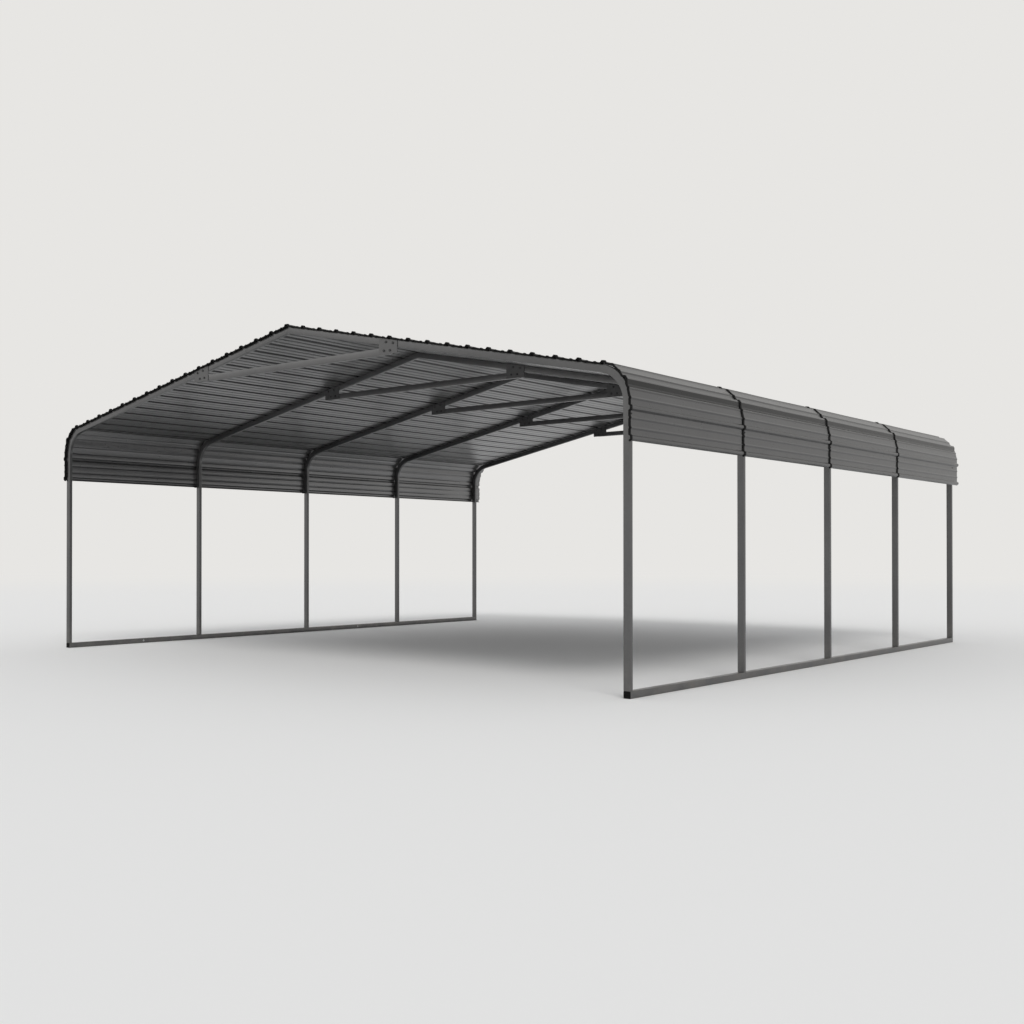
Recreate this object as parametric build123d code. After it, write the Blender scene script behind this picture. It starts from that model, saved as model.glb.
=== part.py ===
from build123d import *
import os
from math import atan, atan2, cos, radians, sin, tan

# Open-frame steel carport for two cars: five arched tube frames on two base rails,
# under ribbed sheets that run along the roof and turn down over the eaves.
# Millimetres. +Z up, Y along the roof, X across it.
# Origin: the middle of the covered plan, on the ground.

# Frame
frame_width = 6100.0
frame_length = 6100.0
frame_count = 5
ridge_height = 2632.0
roof_slope = atan(0.2043)
eave_radius = 255.0

# Tubes
tube_depth = 50.0
tube_breadth = 30.0
tube_wall = 1.5
rail_height = 45.0
stub_height = 90.0
post_top = 1660.0
post_spigot = 100.0
splice_reach = 510.0
splice_overlap = 150.0
ridge_bend_radius = 60.0

# Collar ties
tie_half_length = 1085.0
tie_bottom = 2305.0
tie_plate_inner = 965.0
tie_plate_outer = 1145.0
tie_plate_thickness = 4.0
tie_plate_margin = 3.0

# Rail end plugs
plug_flange = 2.5
plug_depth = 20.0
plug_corner = 4.0

# Ribbed sheets
sheet_thickness = 0.8
sheet_front = 20.0
sheet_lap = 130.0
hem_height = 1565.0
rib_pitches = 19
lap_rib = 17
rib_height = 15.0
rib_foot = 18.0
rib_top = 7.0
lap_rib_foot = 34.0
small_rib_height = 5.0
small_rib_foot = 10.0
lap_flange = 14.0
lap_lift = 2

half_width = frame_width / 2
frame_pitch = (frame_length - tube_breadth) / (frame_count - 1)
plan_front = -sheet_front
plan_back = frame_length + sheet_lap
plan_middle = (plan_front + plan_back) / 2
bend_centre_x = half_width - eave_radius
bend_centre_z = ridge_height - (eave_radius + bend_centre_x * sin(roof_slope)) / cos(roof_slope)
bend_angle = radians(90) - roof_slope
slope_length = (bend_centre_x + eave_radius * sin(roof_slope)) / cos(roof_slope)
bend_length = eave_radius * bend_angle
skirt_length = slope_length + bend_length + bend_centre_z - hem_height
rib_pitch = (skirt_length - rib_foot) / rib_pitches


def frame_front(index):
    """Y of the front face of one frame."""
    return index * frame_pitch - plan_middle


def save(name, solids):
    """Write one named piece, made of solids that don't touch each other."""
    shape = solids[0] if len(solids) == 1 else Compound(children=list(solids))
    export_step(shape, f"parts/{name}.step")


def mirrored(solid):
    return mirror(solid, about=Plane.YZ)


def block(low, high):
    """A box between two corners."""
    size = [b - a for a, b in zip(low, high)]
    return Pos(*low) * Box(*size, align=(Align.MIN, Align.MIN, Align.MIN))


def slab(face, y_from, y_to):
    """A face drawn at Y = 0, thickened along the roof between two Y values."""
    return Pos(0, y_from, 0) * extrude(face, amount=y_to - y_from, dir=(0, 1, 0))


def slope_point(reach, depth):
    """Point under the roof line: reach down the slope from the ridge, depth below it."""
    x = reach * cos(roof_slope) - depth * sin(roof_slope)
    z = ridge_height - reach * sin(roof_slope) - depth * cos(roof_slope)
    return (x, 0, z)


def bend_point(angle, depth):
    """Point in the eave bend, the angle measured from the vertical leg upwards."""
    radius = eave_radius - depth
    return (bend_centre_x + radius * cos(angle), 0, bend_centre_z + radius * sin(angle))


def arch_band(reach, foot, outer, inner):
    """Strip that follows the arch between two depths under its outer line."""
    edges = [Line(slope_point(reach, inner), slope_point(reach, outer))]
    edges.append(Line(slope_point(reach, outer), slope_point(slope_length, outer)))
    edges.append(bend_arc(outer))
    edges.append(Line(bend_point(0, outer), (half_width - outer, 0, foot)))
    edges.append(Line((half_width - outer, 0, foot), (half_width - inner, 0, foot)))
    edges.append(Line((half_width - inner, 0, foot), bend_point(0, inner)))
    edges.append(bend_arc(inner))
    edges.append(Line(slope_point(slope_length, inner), slope_point(reach, inner)))
    return Face(Wire(edges))


def bend_arc(depth):
    """Eave bend at one depth, from the roof slope to the leg."""
    middle = bend_point(bend_angle / 2, depth)
    return ThreePointArc(bend_point(bend_angle, depth), middle, bend_point(0, depth))


def bent_rafter(y):
    """Hollow rafter that turns down at the eave to sleeve over the post."""
    body = slab(arch_band(splice_reach, post_top, 0, tube_depth), y, y + tube_breadth)
    wall = tube_wall
    bore_face = arch_band(splice_reach - wall, post_top - wall, wall, tube_depth - wall)
    return body - slab(bore_face, y + wall, y + tube_breadth - wall)


def tube(low, high, axis):
    """Square-cut hollow tube between two corners, open along one axis."""
    bore_low = list(low)
    bore_high = list(high)
    for i in range(3):
        step = -tube_wall if i == axis else tube_wall
        bore_low[i] += step
        bore_high[i] -= step
    return block(low, high) - block(bore_low, bore_high)


def post(y):
    """Straight post with a narrower spigot at the top, inside the rafter's leg."""
    wall = tube_wall
    inner_x = half_width - tube_depth
    low = (inner_x, y, rail_height)
    high = (half_width, y + tube_breadth, post_top)
    body = tube(low, high, 2)
    spigot_low = (inner_x + wall, y + wall, post_top - wall)
    spigot_high = (half_width - wall, y + tube_breadth - wall, post_top + post_spigot)
    shoulder = block(spigot_low, spigot_high)
    bore_low = (inner_x + 2 * wall, y + 2 * wall, post_top - 2 * wall)
    bore_high = (half_width - 2 * wall, y + tube_breadth - 2 * wall, post_top + post_spigot + wall)
    return body + shoulder - block(bore_low, bore_high)


def ridge_band(reach, outer, inner):
    """Strip across the ridge between two depths, rounded at its top."""
    points = [slope_point(reach, outer), (0, 0, ridge_height - outer / cos(roof_slope))]
    points.append(mirrored_point(points[0]))
    points.append(mirrored_point(slope_point(reach, inner)))
    points.append((0, 0, ridge_height - inner / cos(roof_slope)))
    points.append(slope_point(reach, inner))
    face = Face(Wire(Polyline(*points, close=True).edges()))
    crown = face.vertices().filter_by_position(Axis.X, -1, 1).sort_by(Axis.Z)
    radius = ridge_bend_radius + tube_depth - inner
    face = face.fillet_2d(radius, [crown[0]])
    crown = face.vertices().filter_by_position(Axis.X, -1, 1).sort_by(Axis.Z)
    return face.fillet_2d(radius + inner - outer, [crown[-1]])


def mirrored_point(point):
    return (-point[0], point[1], point[2])


def ridge_tube(y):
    """Narrower bent tube that slides into both rafters and carries the ridge."""
    wall = tube_wall
    reach = splice_reach + splice_overlap
    body = slab(ridge_band(reach, wall, tube_depth - wall), y + wall, y + tube_breadth - wall)
    bore = ridge_band(reach + wall, 2 * wall, tube_depth - 2 * wall)
    return body - slab(bore, y + 2 * wall, y + tube_breadth - 2 * wall)


def collar_tie(y):
    """Level tube across the frame, under both rafters."""
    low = (-tie_half_length, y, tie_bottom)
    high = (tie_half_length, y + tube_breadth, tie_bottom + tube_depth)
    return tube(low, high, 0)


def tie_plate(y):
    """Flat plate on the front of the frame that joins the tie to a rafter."""
    tops = []
    for x in (tie_plate_outer, tie_plate_inner):
        tops.append((x, 0, ridge_height - x * tan(roof_slope) - tie_plate_margin))
    bottoms = [(tie_plate_inner, 0, tie_bottom), (tie_plate_outer, 0, tie_bottom)]
    face = Face(Wire(Polyline(*bottoms, *tops, close=True).edges()))
    return slab(face, y - tie_plate_thickness, y)


def base_rail():
    """Rail along the ground under one row of posts."""
    front = frame_front(0)
    low = (half_width - tube_depth, front + plug_flange, 0)
    high = (half_width, front + frame_length - plug_flange, rail_height)
    return tube(low, high, 1)


def rail_stub(y):
    """Stub welded on the rail, inside the foot of a post."""
    wall = tube_wall
    low = (half_width - tube_depth + wall, y + wall, rail_height)
    high = (half_width - wall, y + tube_breadth - wall, rail_height + stub_height)
    return tube(low, high, 2)


def rail_plug(y, inward):
    """Plastic plug in a rail's end: a flange on the outside, a block in the bore."""
    outer = block((half_width - tube_depth, 0, 0), (half_width, plug_flange, rail_height))
    corners = outer.edges().filter_by(Axis.Y)
    flange = chamfer(corners, plug_corner)
    wall = tube_wall
    low = (half_width - tube_depth + wall, 0, wall)
    high = (half_width - wall, plug_depth, rail_height - wall)
    plug = flange + block(low, high)
    if inward < 0:
        plug = mirror(plug, about=Plane.XZ)
    return Pos(0, y, 0) * plug


def roof_line(s):
    """Point and outward normal of the arch's outer line, s measured from the ridge."""
    side = -1 if s < 0 else 1
    run = abs(s)
    if run <= slope_length:
        x, _, z = slope_point(run, 0)
        normal = (sin(roof_slope), cos(roof_slope))
    elif run <= slope_length + bend_length:
        angle = bend_angle - (run - slope_length) / eave_radius
        x, _, z = bend_point(angle, 0)
        normal = (cos(angle), sin(angle))
    else:
        x = half_width
        z = bend_centre_z - (run - slope_length - bend_length)
        normal = (1.0, 0.0)
    return (side * x, z), (side * normal[0], normal[1])


def raised(s, height):
    """Point over the arch's outer line at a height. Flats in the bend stand clear of it."""
    (x, z), (nx, nz) = roof_line(s)
    flat = rib_pitch / 3 - 2 * small_rib_foot
    near_bend = slope_length - flat < abs(s) < slope_length + bend_length + flat
    lift = eave_radius * (1 / cos(flat / 2 / eave_radius) - 1) if near_bend else 0.0
    return (x + nx * (height + lift), z + nz * (height + lift))


def rib_stations(index):
    """Feet and crest of one rib: a tall one every third place, a small one between.

    The tall rib at the eave lap has a longer lower flank.
    """
    centre = index * rib_pitch / 3
    low_foot = lap_rib_foot if index == 3 * lap_rib else rib_foot
    if index % 3 == 0:
        offsets = ((-rib_foot, 0), (-rib_top, rib_height), (rib_top, rib_height), (low_foot, 0))
    else:
        offsets = ((-small_rib_foot, 0), (0, small_rib_height), (small_rib_foot, 0))
    return [(centre + along, height) for along, height in offsets]


def ribbed_line(first, last):
    """Bottom line of a sheet from one rib to another, as points."""
    points = []
    for index in range(first, last + 1):
        points += [raised(s, height) for s, height in rib_stations(index)]
    return points


def shifted(points, distances):
    """Line parallel to a polyline: each stretch stands off by its own distance."""
    normals = []
    for (x0, z0), (x1, z1) in zip(points, points[1:]):
        angle = atan2(z1 - z0, x1 - x0)
        normals.append((-sin(angle), cos(angle)))
    moved = [offset_by(points[0], normals[0], distances[0])]
    for i in range(1, len(normals)):
        moved.append(corner(points[i], normals[i - 1], normals[i], distances[i - 1], distances[i]))
    moved.append(offset_by(points[-1], normals[-1], distances[-1]))
    return moved


def offset_by(point, normal, distance):
    return (point[0] + normal[0] * distance, point[1] + normal[1] * distance)


def corner(point, normal_a, normal_b, distance_a, distance_b):
    """Where two stretches meet once each has moved along its own normal."""
    cross = normal_a[0] * normal_b[1] - normal_a[1] * normal_b[0]
    if abs(cross) < 0.001:
        return offset_by(point, normal_a, distance_a)
    dx = (distance_a * normal_b[1] - distance_b * normal_a[1]) / cross
    dz = (distance_b * normal_a[0] - distance_a * normal_b[0]) / cross
    return (point[0] + dx, point[1] + dz)


def flange_end(foot, towards):
    """End of the flange that a lapping sheet carries past the foot of its last rib."""
    return raised(foot + towards * lap_flange, 0)


def sheet_solid(points, levels, bay):
    """Thin ribbed sheet over one bay, from its bottom line and its layers."""
    t = sheet_thickness
    below = shifted(points, [t * (bay + level) for level in levels])
    above = shifted(points, [t * (bay + level + 1) for level in levels])
    outline = [(x, 0, z) for x, z in below + above[::-1]]
    face = Face(Wire(Polyline(*outline, close=True).edges()))
    front = frame_front(bay) - sheet_front
    back = frame_front(bay + 1) + tube_breadth + sheet_lap
    return slab(face, front, back)


def lapped_roof(first, last, bay):
    """Roof sheet. A tall rib at its end rises two layers to cover its neighbour's."""
    points = ribbed_line(first, last)
    levels = [0] * (len(points) - 1)
    foot = last * rib_pitch / 3 + lap_rib_foot
    points.append(flange_end(foot, 1))
    levels += [lap_lift]
    for i in range(len(levels) - 4, len(levels)):
        levels[i] = lap_lift
    return points, levels


def right_roof(bay):
    """Right roof sheet: it also covers the ridge rib and laps onto the left slope."""
    points, levels = lapped_roof(0, 3 * lap_rib, bay)
    points = [flange_end(-rib_foot, -1)] + points
    levels = [lap_lift] * 4 + levels[3:]
    return sheet_solid(points, levels, bay)


def left_roof(bay):
    """Left roof sheet, which ends at the far foot of the ridge rib."""
    points, levels = lapped_roof(0, 3 * lap_rib, bay)
    points = [(-x, z) for x, z in points[::-1]]
    return sheet_solid(points, levels[::-1], bay)


def side_sheet(bay):
    """Skirt sheet from the lap in the eave bend down to the hem."""
    points = ribbed_line(3 * lap_rib, 3 * rib_pitches)
    return sheet_solid(points, [0] * (len(points) - 1), bay)


def build_frames():
    for index in range(frame_count):
        y = frame_front(index)
        name = f"frame_{index + 1}"
        for part, maker in (("posts", post), ("rafters", bent_rafter), ("tie_plates", tie_plate)):
            solid = maker(y)
            save(f"{name}_{part}", [solid, mirrored(solid)])
        save(f"{name}_ridge_tube", [ridge_tube(y)])
        save(f"{name}_collar_tie", [collar_tie(y)])


def build_base():
    rail = base_rail()
    save("base_rail_right", [rail])
    save("base_rail_left", [mirrored(rail)])
    stubs = [rail_stub(frame_front(index)) for index in range(frame_count)]
    save("rail_stubs", stubs + [mirrored(stub) for stub in stubs])
    front = frame_front(0)
    plugs = [rail_plug(front, 1), rail_plug(front + frame_length, -1)]
    save("rail_plugs", plugs + [mirrored(plug) for plug in plugs])


def build_sheets():
    for bay in range(frame_count - 1):
        side = side_sheet(bay)
        save(f"bay_{bay + 1}_side_sheet_right", [side])
        save(f"bay_{bay + 1}_side_sheet_left", [mirrored(side)])
        save(f"bay_{bay + 1}_roof_sheet_right", [right_roof(bay)])
        save(f"bay_{bay + 1}_roof_sheet_left", [left_roof(bay)])


os.makedirs("parts", exist_ok=True)
build_base()
build_frames()
build_sheets()
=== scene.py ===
import math
import bpy
import bmesh
import numpy as np
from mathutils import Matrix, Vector


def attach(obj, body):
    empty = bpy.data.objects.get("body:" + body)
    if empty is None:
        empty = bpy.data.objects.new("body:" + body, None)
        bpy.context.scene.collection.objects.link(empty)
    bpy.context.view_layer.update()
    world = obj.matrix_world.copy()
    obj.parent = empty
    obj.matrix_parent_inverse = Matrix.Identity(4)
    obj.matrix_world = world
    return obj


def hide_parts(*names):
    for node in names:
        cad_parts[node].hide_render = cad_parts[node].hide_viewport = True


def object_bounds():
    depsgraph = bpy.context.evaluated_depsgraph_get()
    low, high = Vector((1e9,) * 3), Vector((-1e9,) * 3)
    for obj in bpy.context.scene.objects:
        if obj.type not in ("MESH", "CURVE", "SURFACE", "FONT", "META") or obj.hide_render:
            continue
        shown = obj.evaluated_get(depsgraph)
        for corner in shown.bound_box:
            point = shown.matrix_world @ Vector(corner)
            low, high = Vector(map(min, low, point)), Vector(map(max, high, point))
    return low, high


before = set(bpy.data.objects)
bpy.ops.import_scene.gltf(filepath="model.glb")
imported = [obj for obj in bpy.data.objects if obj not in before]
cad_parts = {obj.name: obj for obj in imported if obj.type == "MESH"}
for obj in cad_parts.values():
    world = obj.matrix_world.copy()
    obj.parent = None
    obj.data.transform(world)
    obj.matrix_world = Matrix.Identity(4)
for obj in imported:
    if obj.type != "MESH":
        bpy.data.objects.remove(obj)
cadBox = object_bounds()
boxLow, boxHigh = (np.array(corner, float) for corner in cadBox)

# shared measures of the arches, in metres
arch = {
    "halfWidth": 3.05, "length": 6.1, "frames": 5, "ridge": 2.632, "slope": math.atan(0.2043),
    "eaveRadius": 0.255, "depth": 0.05, "breadth": 0.03, "wall": 0.0015, "corner": 0.0032,
    "railHeight": 0.045, "postTop": 1.66, "sheetFront": 0.02, "sheetLap": 0.13,
    "plugFlange": 0.0025,
}
planMiddle = (arch["length"] + arch["sheetLap"] - arch["sheetFront"]) / 2
framePitch = (arch["length"] - arch["breadth"]) / (arch["frames"] - 1)
bendX = arch["halfWidth"] - arch["eaveRadius"]
slopeSin, slopeCos = math.sin(arch["slope"]), math.cos(arch["slope"])
bendZ = arch["ridge"] - (arch["eaveRadius"] + bendX * slopeSin) / slopeCos
bendAngle = math.pi / 2 - arch["slope"]
slopeLength = (bendX + arch["eaveRadius"] * slopeSin) / slopeCos
bendLength = arch["eaveRadius"] * bendAngle


def frontOf(index):
    return index * framePitch - planMiddle  # Y of one frame's front face


def archLine(s):
    # outer line of the arch and its outward normal, s metres from the ridge, negative to the left:
    # down the slope, then round the eave bend, then straight down the leg
    s = np.asarray(s, float)
    side, run = np.where(s < 0, -1.0, 1.0), np.abs(s)
    turn = bendAngle - np.clip((run - slopeLength) / arch["eaveRadius"], 0, bendAngle)
    flat = np.minimum(run, slopeLength) - slopeLength
    down = np.maximum(run - slopeLength - bendLength, 0)
    normal = np.stack([np.cos(turn), np.sin(turn)], -1)
    x = bendX + arch["eaveRadius"] * normal[..., 0] + flat * slopeCos
    z = bendZ + arch["eaveRadius"] * normal[..., 1] - flat * slopeSin - down
    normal[..., 0] *= side
    return np.stack([side * x, z], -1), normal


# mesh helpers: a part is (vertices, faces) as whole arrays, and a sheet has its marks as well,
# which are how much painted shade each vertex has and how much of the paler inner coat, partly painted
# light, it has
meshing = {"mergeWithin": 1e-6, "sharpFrom": 35}


def gridFaces(rows, columns, closeRows=False, closeColumns=False):
    # a quad between each two rows and columns, and from the last to the first where it is closed
    index = np.arange(rows * columns).reshape(rows, columns)
    if closeRows:
        index = np.vstack([index, index[:1]])
    if closeColumns:
        index = np.hstack([index, index[:, :1]])
    quads = [index[:-1, :-1], index[:-1, 1:], index[1:, 1:], index[1:, :-1]]
    return np.stack(quads, -1).reshape(-1, 4)


def outward(vertices, faces):
    # volume under the surface as a sum of corner products: when it is negative the faces are turned
    a, b, c, d = (vertices[faces[:, i]] for i in range(4))
    volume = np.einsum("ij,ij->", a, np.cross(b, c)) + np.einsum("ij,ij->", a, np.cross(c, d))
    return vertices, faces if volume > 0 else faces[:, ::-1]


def mirrored(part):
    # X negated, and the faces turned outward again
    return outward(part[0] * np.array([-1.0, 1.0, 1.0]), part[1]) + part[2:]


def buildPiece(name, parts, material, replaced=(), sharp=meshing["sharpFrom"],
               merge=False):
    # one object of all its parts, held to the solids' box
    start, vertices, faces, marks = 0, [], [], []
    for points, quads, *extra in parts:
        vertices.append(points)
        faces.append(quads + start)
        marks += extra
        start += len(points)
    vertices = np.clip(np.vstack(vertices), boxLow, boxHigh)
    faces = np.vstack(faces)
    mesh = bpy.data.meshes.new(name)
    mesh.vertices.add(len(vertices))
    mesh.vertices.foreach_set("co", vertices.astype(np.float32).ravel())
    mesh.loops.add(faces.size)
    mesh.loops.foreach_set("vertex_index", faces.astype(np.int32).ravel())
    mesh.polygons.add(len(faces))
    mesh.polygons.foreach_set("loop_start", np.arange(0, faces.size, 4, dtype=np.int32))
    mesh.update(calc_edges=True)
    for label, column in zip(("paintedShade", "backingAndLight"), np.vstack(marks).T if marks else ()):
        layer = mesh.attributes.new(label, "FLOAT", "POINT")
        layer.data.foreach_set("value", column.astype(np.float32))
    if merge:
        shell = bmesh.new()
        shell.from_mesh(mesh)
        bmesh.ops.remove_doubles(shell, verts=shell.verts, dist=meshing["mergeWithin"])
        shell.to_mesh(mesh)
        shell.free()
    mesh.validate()
    mesh.shade_smooth()
    mesh.set_sharp_from_angle(angle=math.radians(sharp))
    mesh.materials.append(material)
    piece = bpy.data.objects.new(name, mesh)
    bpy.context.scene.collection.objects.link(piece)
    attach(piece, "root")
    if replaced:
        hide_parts(*replaced)


# tubes
tubes = {
    "cornerSteps": 4, "leastCorner": 0.0006, "endChamfer": 0.0008, "bendSteps": 20,
    "crownRadius": 0.06, "crownSteps": 9, "spliceReach": 0.51, "spliceOverlap": 0.15,
    "spigot": 0.1, "spigotSunk": 0.03, "tieHalf": 1.085, "tieBottom": 2.305,
}


def roundedRectangle(width, height, radius, inset=0.0):
    # loop round a rectangle: each corner is a quarter circle about its own centre
    steps = tubes["cornerSteps"]
    radius = max(radius - inset, tubes["leastCorner"])
    angle = np.linspace(0, math.pi / 2, steps + 1)
    quarter = np.arange(4)[:, None] * math.pi / 2 + angle[None, :]
    near, farX, farY = inset + radius, width - inset - radius, height - inset - radius
    x = np.array([farX, near, near, farX])[:, None] + radius * np.cos(quarter)
    y = np.array([farY, farY, near, near])[:, None] + radius * np.sin(quarter)
    return np.stack([x.ravel(), y.ravel()], -1)


def hollowTube(line, normals, front, depth, breadth, inset=0.0):
    # section carried along a line in the plane of the arch: point = line - normal * depth part,
    # over the chamfered start, along the outer wall, over the chamfered end and back along the bore
    chamfer, corner = tubes["endChamfer"], arch["corner"]
    tangent = np.gradient(line, axis=0)
    tangent /= np.linalg.norm(tangent, axis=1)[:, None]
    body = line.copy()
    body[0] += tangent[0] * chamfer
    body[-1] -= tangent[-1] * chamfer
    outer, lip, bore = (roundedRectangle(depth, breadth, corner, inset + more)
                        for more in (0, chamfer, arch["wall"]))
    stretches = [(line[:1], normals[:1], lip), (body, normals, outer),
                 (line[-1:], normals[-1:], lip), (line[::-1], normals[::-1], bore)]
    rows = []
    for path, turn, section in stretches:
        place = path[:, None] - turn[:, None] * section[None, :, :1]
        y = np.broadcast_to(front + section[:, 1], place.shape[:2])
        rows.append(np.stack([place[..., 0], y, place[..., 1]], -1))
    grid = np.vstack(rows)
    return outward(grid.reshape(-1, 3), gridFaces(*grid.shape[:2], closeRows=True, closeColumns=True))


def straightLine(start, end):
    # the two ends, as hollowTube takes them
    return np.array([start, end], float)


def rafter(front):
    # from the joint with the ridge tube down the slope, round the bend and down to the post
    bendEnd = slopeLength + bendLength
    leg = bendEnd + bendZ - arch["postTop"]
    bend = np.linspace(slopeLength, bendEnd, tubes["bendSteps"])
    line, normals = archLine(np.concatenate([[tubes["spliceReach"]], bend, [leg]]))
    return hollowTube(line, normals, front, arch["depth"], arch["breadth"])


def ridgeTube(front):
    # bent tube with a round crown: heights follow the slope, then a circle tangent to both slopes
    slope = arch["slope"]
    reach = (tubes["spliceReach"] + tubes["spliceOverlap"]) * slopeCos
    radius = tubes["crownRadius"] + arch["depth"]
    angle = np.linspace(-slope, slope, tubes["crownSteps"])
    x = np.concatenate([[-reach], radius * np.sin(angle), [reach]])
    turn = np.concatenate([[-slope], angle, [slope]])
    normals = np.stack([np.sin(turn), np.cos(turn)], -1)
    centre = arch["ridge"] - radius / slopeCos
    z = centre + radius * normals[:, 1]
    z[[0, -1]] = arch["ridge"] - reach * math.tan(slope)
    line = np.stack([x, z], -1)
    return hollowTube(line, normals, front, arch["depth"], arch["breadth"], arch["wall"])


def post(front):
    # straight leg from the rail up, and a narrower spigot that stands up into the rafter
    x, top, neck = arch["halfWidth"], arch["postTop"], arch["wall"]
    section = (np.array([[1.0, 0.0]] * 2), front, arch["depth"], arch["breadth"])
    leg = straightLine((x, arch["railHeight"]), (x, top))
    spigot = straightLine((x, top - tubes["spigotSunk"]), (x, top + tubes["spigot"]))
    return [hollowTube(leg, *section), hollowTube(spigot, *section, neck)]


def collarTie(front):
    # level tube between the rafters: the section carried along X
    half, top = tubes["tieHalf"], tubes["tieBottom"] + arch["depth"]
    line = straightLine((-half, top), (half, top))
    return hollowTube(line, np.array([[0.0, 1.0]] * 2), front, arch["depth"], arch["breadth"])


def railTube(side):
    # the rail lies along Y, between the flanges of its plugs: a tube along X with X and Y swapped
    start = frontOf(0) + arch["plugFlange"]
    end = frontOf(0) + arch["length"] - arch["plugFlange"]
    height, depth = arch["railHeight"], arch["depth"]
    up = np.array([[0.0, 1.0]] * 2)
    line = straightLine((start, height), (end, height))
    points, faces = hollowTube(line, up, arch["halfWidth"] - depth, height, depth)
    turned = points[:, [1, 0, 2]] * np.array([side, 1.0, 1.0])
    return outward(turned, faces)


# ribbed sheets
sheets = {
    "thickness": 0.0008, "pitches": 19, "lapRib": 17, "hem": 1.565, "ribHeight": 0.015,
    "ribFoot": 0.018, "ribTop": 0.007, "lapFoot": 0.034, "smallHeight": 0.005, "smallFoot": 0.01,
    "flange": 0.014, "lapLift": 2, "eaveRise": 0.014, "bendSteps": 4, "ribRadius": 0.004,
    "smallRadius": 0.006, "leastBend": 0.001, "longestCut": 0.45, "sharpFrom": 60,
}
# how a sheet hangs between two frames: an even share of the sag and two waves across the sheet
sagging = {
    "depth": 0.0022, "steps": 14, "clearOfLap": 0.03, "clearOfFrame": 0.06, "evenShare": 0.5,
    "slowShare": 0.3, "slowWave": 3.1, "quickShare": 0.2, "quickWave": 7.3, "alongX": 1.9,
    "alongZ": 2.3, "bayShift": 1.7,
}
# painted shade by place: the hollows of the ribs inside, the flanks that face down the slope outside,
# darkened where shade falls; the rest is how much of the paler coat each sheet's inner face has, partly
# painted light
paintedShadeAndBacking = {
    "roofTall": 0.8, "roofSmall": 0.15, "skirtTall": 0.15, "skirtSmall": 0.0, "lapFlank": 1.0,
    "tallFlank": 0.6, "smallFlank": 0.3, "roofBackingAndLight": 1.0, "skirtBackingAndLight": 0.72,
}
skirtLength = slopeLength + bendLength + bendZ - sheets["hem"]
ribPitch = (skirtLength - sheets["ribFoot"]) / sheets["pitches"]


def raised(s, height):
    # arch's line + normal * (height + lift): in the bend each foot is lifted until the flat between
    # two feet only touches the line at its middle, radius / cos(half the flat's angle) - radius, and
    # from the bend to the lap the sheet swings out by eaveRise * sin squared of half a turn
    line, normals = archLine(s)
    flat = ribPitch / 3 - 2 * sheets["smallFoot"]
    run = np.abs(s)
    nearBend = (run > slopeLength - flat) & (run < slopeLength + bendLength + flat)
    lift = arch["eaveRadius"] * (1 / math.cos(flat / 2 / arch["eaveRadius"]) - 1) * nearBend
    lapStart = sheets["lapRib"] * ribPitch - sheets["ribFoot"]
    way = (run - slopeLength) / (lapStart - slopeLength)
    lift += sheets["eaveRise"] * np.sin(math.pi * np.clip(way, 0, 1)) ** 2
    return line + normals * (np.asarray(height) + lift)[:, None]


def ribStations(first, last):
    # feet and crests of the ribs from one to another: a tall rib every third place, small between
    s, height, radius = [], [], []
    foot, top, small = sheets["ribFoot"], sheets["ribTop"], sheets["smallFoot"]
    for index in range(first, last + 1):
        centre = index * ribPitch / 3
        if index % 3 == 0:
            lowFoot = sheets["lapFoot"] if index == 3 * sheets["lapRib"] else foot
            s += [centre - foot, centre - top, centre + top, centre + lowFoot]
            height += [0, sheets["ribHeight"], sheets["ribHeight"], 0]
            radius += [sheets["ribRadius"]] * 4
        else:
            s += [centre - small, centre, centre + small]
            height += [0, sheets["smallHeight"], 0]
            radius += [sheets["smallRadius"]] * 3
    return np.array(s), np.array(height, float), np.array(radius)


def shifted(points, distance):
    # parallel line: each corner goes to where its two stretches meet once both have moved
    step = np.diff(points, axis=0)
    step /= np.linalg.norm(step, axis=1)[:, None]
    normals = np.stack([-step[:, 1], step[:, 0]], -1)
    a, b, da, db = normals[:-1], normals[1:], distance[:-1, None], distance[1:, None]
    cross = a[:, :1] * b[:, 1:] - a[:, 1:] * b[:, :1]
    bent = np.abs(cross) > sheets["leastBend"]
    safe = np.where(bent, cross, 1.0)
    dx = np.where(bent, (da * b[:, 1:] - db * a[:, 1:]) / safe, a[:, :1] * da)
    dz = np.where(bent, (db * a[:, :1] - da * b[:, :1]) / safe, a[:, 1:] * da)
    ends = [points[:1] + normals[:1] * distance[0], points[-1:] + normals[-1:] * distance[-1]]
    return np.vstack([ends[0], points[1:-1] + np.hstack([dx, dz]), ends[1]])


def pressed(points, radius):
    # each corner becomes a short curve: start + (corner - start) * 2u(1-u) + (end - start) * u squared
    before, after = points[:-2] - points[1:-1], points[2:] - points[1:-1]
    lengthA, lengthB = np.linalg.norm(before, axis=1), np.linalg.norm(after, axis=1)
    cosine = np.einsum("ij,ij->i", before, after) / lengthA / lengthB
    half = (math.pi - np.arccos(np.clip(cosine, -1, 1))) / 2
    longest = sheets["longestCut"] * np.minimum(lengthA, lengthB)
    cut = np.minimum(radius[1:-1] * np.tan(half), longest)
    start = points[1:-1] + before * (cut / lengthA)[:, None]
    end = points[1:-1] + after * (cut / lengthB)[:, None]
    u = np.linspace(0, 1, sheets["bendSteps"])[None, :, None]
    corner = points[1:-1][:, None]
    curve = (1 - u) ** 2 * start[:, None] + 2 * u * (1 - u) * corner + u ** 2 * end[:, None]
    return np.vstack([points[:1], curve.reshape(-1, 2), points[-1:]])


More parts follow.
